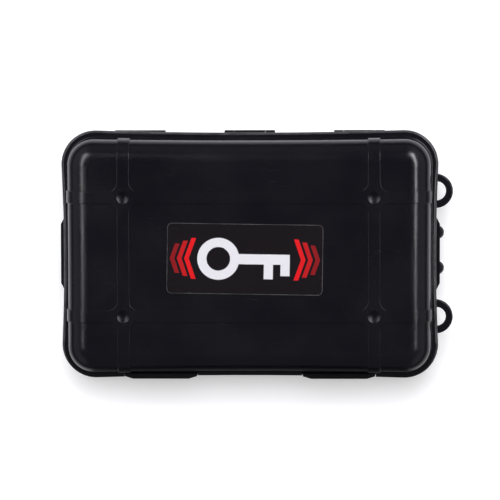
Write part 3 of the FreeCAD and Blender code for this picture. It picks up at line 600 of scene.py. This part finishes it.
def gasket_bead():
    """Soft bead in the lid's groove: a rounded oblong section with two low lips on its under face,
    carried along the case's path. The section is a superellipse, and the lips are a cosine
    across its width."""
    low, high = GASKET_LOW.z, GASKET_HIGH.z
    path, normal = case_path(GASKET_INSET)
    turn = np.linspace(0, 2 * math.pi, BEAD_STEPS, endpoint=False)
    across = BEAD_HALF_WIDTH * np.sign(np.cos(turn)) * np.abs(np.cos(turn)) ** 0.5
    height = np.sign(np.sin(turn)) * np.abs(np.sin(turn)) ** 0.5
    under = np.clip(-height, 0, 1)
    waves = 0.5 + 0.5 * np.cos(2 * math.pi * across / BEAD_HALF_WIDTH)
    co = np.empty((len(path), BEAD_STEPS, 3))
    co[..., :2] = path[:, None] + normal[:, None] * across[:, None] + np.array(CASE_MIDDLE.xy)
    co[..., 2] = (low + high) / 2 + height * (high - low) / 2 + BEAD_LIP * waves * under
    return grid_mesh("gasket_bead", co)


def grid_mesh(name, co):
    """Mesh from a grid of points that closes both ways."""
    rows, columns = co.shape[:2]
    index = np.arange(rows * columns).reshape(rows, columns)
    ahead = np.roll(index, -1, axis=0)
    faces = np.stack([index, np.roll(index, -1, axis=1), np.roll(ahead, -1, axis=1), ahead],
                     axis=-1).reshape(-1, 4)
    mesh = bpy.data.meshes.new(name)
    mesh.from_pydata(co.reshape(-1, 3).tolist(), [], faces.tolist())
    mesh.shade_smooth()
    return placed_object(name, mesh)


def placed_object(name, data):
    """Object that shows its data in the scene."""
    made = bpy.data.objects.new(name, data)
    bpy.context.scene.collection.objects.link(made)
    return made


# --- Dressing the frame -----------------------------------------------------------------------
def make_finishes():
    """Every finish, by the name of its material slot."""
    return {
        "case_plastic": moulded_plastic("case_plastic", CASE_BLACKS, 0.21, 1.0),
        "latch_plastic": moulded_plastic("latch_plastic", LATCH_SHADED_BLACKS, 0.22, 0.0),
        "gasket_rubber": soft_rubber("gasket_rubber", GASKET_BLACK, 0.25),
        "washer_rubber": soft_rubber("washer_rubber", WASHER_BLACK, 0.15),
        "label_vinyl": label_vinyl(),
        "pin_steel": drawn_steel(),
        "magnet_cup_steel": turned_metal("magnet_cup_steel", CUP_STEELS, 0.20, 9.0),
        "magnet_nickel": turned_metal("magnet_nickel", MAGNET_NICKELS, 0.10, 3.0),
        "fastener_zinc": turned_metal("fastener_zinc", SCREW_ZINCS, 0.24, 14.0)}


def dress(frame_nodes, finishes):
    """Gives every CAD node the finish of its material slot."""
    for part in frame["record"]["subparts"]:
        for place in frame_nodes[part["node"]].material_slots:
            place.material = finishes[part["material_slot"]]


# --- Studio -----------------------------------------------------------------------------------
def add_camera():
    """Camera that looks down onto the lid, with the hinge at the top of the picture."""
    aim = Vector((CASE_MIDDLE.x, CASE_MIDDLE.y, FLANGE_TOP)) + AIM_BESIDE_MIDDLE
    away = Vector((math.tan(VIEW_SIDESTEP), math.tan(VIEW_LEAN), 1.0)).normalized()
    right = Vector((0, 1, 0)).cross(away).normalized()
    up = away.cross(right)
    data = bpy.data.cameras.new("camera")
    data.sensor_width = SENSOR_WIDTH
    data.lens = SENSOR_WIDTH * VIEW_DISTANCE / FRAME_WIDTH
    data.clip_end = VIEW_REACH
    placed = Matrix((right, up, away)).transposed().to_4x4()
    placed.translation = aim + away * VIEW_DISTANCE
    camera = placed_object("camera", data)
    camera.matrix_world = placed @ Matrix.Rotation(VIEW_ROLL, 4, "Z")
    bpy.context.scene.camera = camera


def softbox(name, place, size, watts):
    """Rectangular lamp that faces the box, brighter towards its middle: a narrow sheet of light
    before a wide one. A dim third sheet widens its hinge end inwards."""
    away = (Vector(place) - LAMP_AIM).normalized()
    side = Vector((0, 1, 0)).cross(away).normalized()
    along = away.cross(side)
    inward = side if place[0] < 0 else -side
    placed = Matrix((side, along, away)).transposed().to_4x4()
    sheets = []
    for part, wide, long, share, nearer, ahead, within in SHEETS:
        placed.translation = (Vector(place) - away * nearer + along * ahead * size[1]
                              + inward * within * size[0])
        data = bpy.data.lights.new(f"{name}_{part}", "AREA")
        data.shape = "RECTANGLE"
        data.size, data.size_y = size[0] * wide, size[1] * long
        data.energy = watts * share
        data.color = SOFTBOX_TINT
        sheet = placed_object(f"{name}_{part}", data)
        sheet.matrix_world = placed
        sheets.append(sheet)
    return sheets


def floor_finish():
    """Pale floor that reads as white with the box's shadow on it, and a shadow painted under the
    box, where its glow is turned down. What the box mirrors of it is a painted reflection: white
    beside the box, falling off with distance, with painted shade under the box and in front of it,
    but not beyond its ends. From below the floor is seen through, also by what lies on it."""
    made = bpy.data.materials.new("floor_white")
    graph = empty_tree(made)
    away = graph.effect(OUTLINE)["Distance"]
    matt = graph.node("ShaderNodeBsdfDiffuse", {"Color": FLOOR_GREY}).outputs[0]
    whitening = graph.ramp(away, 150.0, 900.0, 0.40, 0.80)
    # Painted shadow: the glow is turned down under the box.
    outside_painted_shadow = graph.ramp(away, -16.0, 0.0, 0.15, 1.0)
    glow = graph.emission(WHITE, graph.times(whitening, outside_painted_shadow))
    white = graph.node("ShaderNodeAddShader", {0: matt, 1: glow}).outputs[0]

    x, y, _ = graph.axes(graph.object_point())
    # What the box mirrors is painted: it falls off with distance, and painted shade darkens it
    # under the box and in front.
    fall = graph.ramp(away, 40.0, 170.0, 0.95, 0.10)
    outside_painted_shade = graph.ramp(away, -14.0, 14.0, 0.16, 1.0)
    back = graph.ramp(y, -0.075, -0.04, 0.08, 1.0)
    ends = graph.ramp(graph.size(x), 0.070, 0.090, 0.08, 0.8)
    painted_reflection = graph.emission(ROOM_TINT, graph.times(fall, outside_painted_shade, graph.most(back, ends)))

    path = graph.node("ShaderNodeLightPath").outputs
    below = graph.node("ShaderNodeNewGeometry").outputs["Backfacing"]
    touching = graph.times(path["Is Glossy Ray"],
                           graph.math("LESS_THAN", path["Ray Length"], TOUCHING))
    clear = graph.node("ShaderNodeBsdfTransparent", {"Color": WHITE}).outputs[0]
    shown = graph.either(path["Is Camera Ray"], matt, white)
    shown = graph.either(path["Is Glossy Ray"], shown, painted_reflection)
    shown = graph.either(graph.most(below, touching), shown, clear)
    graph.node("ShaderNodeOutputMaterial", {"Surface": shown})
    return made


def add_floor():
    """Floor a hair below the magnets' faces."""
    mesh = bpy.data.meshes.new("floor")
    corners = [(x * FLOOR_REACH, y * FLOOR_REACH, 0)
               for x, y in ((-1, -1), (1, -1), (1, 1), (-1, 1))]
    mesh.from_pydata(corners, [], [(0, 1, 2, 3)])
    mesh.materials.append(floor_finish())
    floor = placed_object("floor", mesh)
    floor.location.z = -FLOOR_DROP


def light_room():
    """World that is white to look at and lights matt surfaces evenly. What the box mirrors of it
    is dark overhead, dim in front, and paler behind, at the ends and below."""
    world = bpy.data.worlds.new("studio")
    bpy.context.scene.world = world
    graph = empty_tree(world)
    x, y, z = graph.axes(graph.node("ShaderNodeTexCoord").outputs["Generated"])
    aside = graph.size(x)
    low = graph.ramp(z, 0.50, 0.85, 0.42, 0.008)
    back = graph.ramp(y, -0.4, 0.0, 0.12, 1.0)
    ends = graph.ramp(aside, 0.22, 0.50, 0.12, 0.85)
    sides = graph.ramp(aside, 0.0, 0.6, 0.5, 1.0)
    front = graph.ramp(y, -0.08, -0.02, 0.12, 0.005)
    below = graph.ramp(z, -0.5, -0.2, 0.65, 0.0)
    strength = graph.most(graph.times(graph.most(back, ends), sides, low), front, below)
    room, white, even = (
        graph.node("ShaderNodeBackground", {"Color": tint, "Strength": value}).outputs[0]
        for tint, value in ((ROOM_TINT, strength), (WHITE, 1.0), (WHITE, 0.24)))
    path = graph.node("ShaderNodeLightPath").outputs
    straight = graph.most(path["Is Camera Ray"], path["Is Transmission Ray"])
    shown = graph.either(path["Is Glossy Ray"], even, room)
    graph.node("ShaderNodeOutputWorld", {"Surface": graph.either(straight, shown, white)})


def light_studio():
    """Softboxes left and right, which show only as reflections, and a lamp above the hinge side,
    which lights matt surfaces, casts the shadow and isn't mirrored."""
    for lamp in SIDE_LAMPS:
        for sheet in softbox(*lamp):
            sheet.visible_diffuse = False
    for sheet in softbox(*TOP_LAMP):
        sheet.visible_glossy = False


# --- Everything together ----------------------------------------------------------------------
finishes = make_finishes()
dress(frame["nodes"], finishes)

gasket = gasket_bead()
gasket.data.materials.append(finishes["gasket_rubber"])
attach(gasket, "lid")
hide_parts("gasket")

add_floor()
add_camera()
light_studio()
light_room()
bpy.context.scene.view_settings.view_transform = "Standard"
